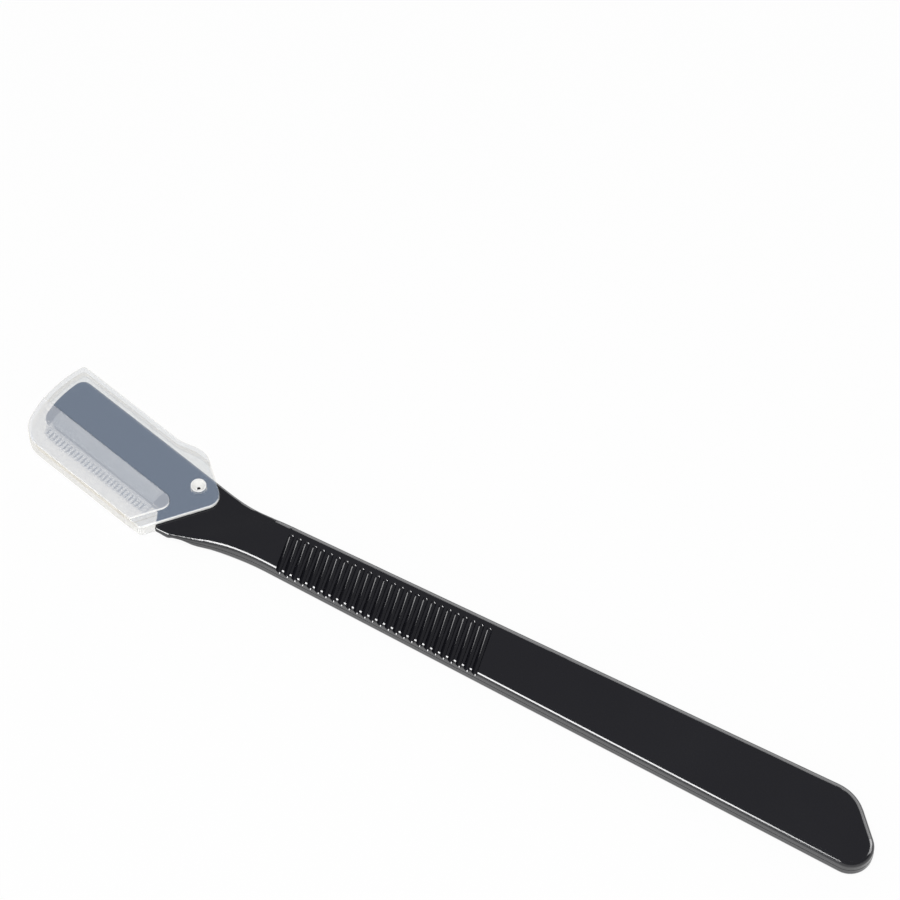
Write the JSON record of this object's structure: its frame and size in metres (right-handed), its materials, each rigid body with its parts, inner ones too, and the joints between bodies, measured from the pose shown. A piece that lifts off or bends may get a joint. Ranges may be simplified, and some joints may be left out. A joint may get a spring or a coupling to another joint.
{
  "type": "eyebrow razor",
  "caption": "Slim eyebrow razor: tapering ribbed handle, turned head with a comb-guarded blade, and a see-through slip-on cap that clicks on with hollow studs.",
  "frame": {"origin": "on the handle's back face, on its long axis, midway along the straight handle", "axes": "+X from the head to the tail along the handle's axis, +Y towards the spine side, +Z out of the front face"},
  "size_m": [0.1521, 0.0211, 0.004],
  "materials": {
    "black_gloss_plastic": "moulded gloss black",
    "blade_steel": "ground stainless strip",
    "clamp_steel": "satin stainless strip with dark cut edges",
    "comb_steel": "etched stainless foil",
    "milky_plastic": "moulded natural polypropylene, see-through"
  },
  "bodies": {
    "razor": {"handle": "black_gloss_plastic", "blade_clamp": "clamp_steel", "blade": "blade_steel", "guard_comb": "comb_steel"},
    "cap": {"cap": "milky_plastic", "snap_stud_front": "milky_plastic", "snap_stud_back": "milky_plastic"}
  },
  "joints": [
    {"name": "cap_pull_off", "type": "slide", "parent": "razor", "child": "cap", "axis": [-0.9781, 0.2079, 0], "range_m": [0, 0.036], "deforming": ["snap_stud_front", "snap_stud_back"]}
  ]
}
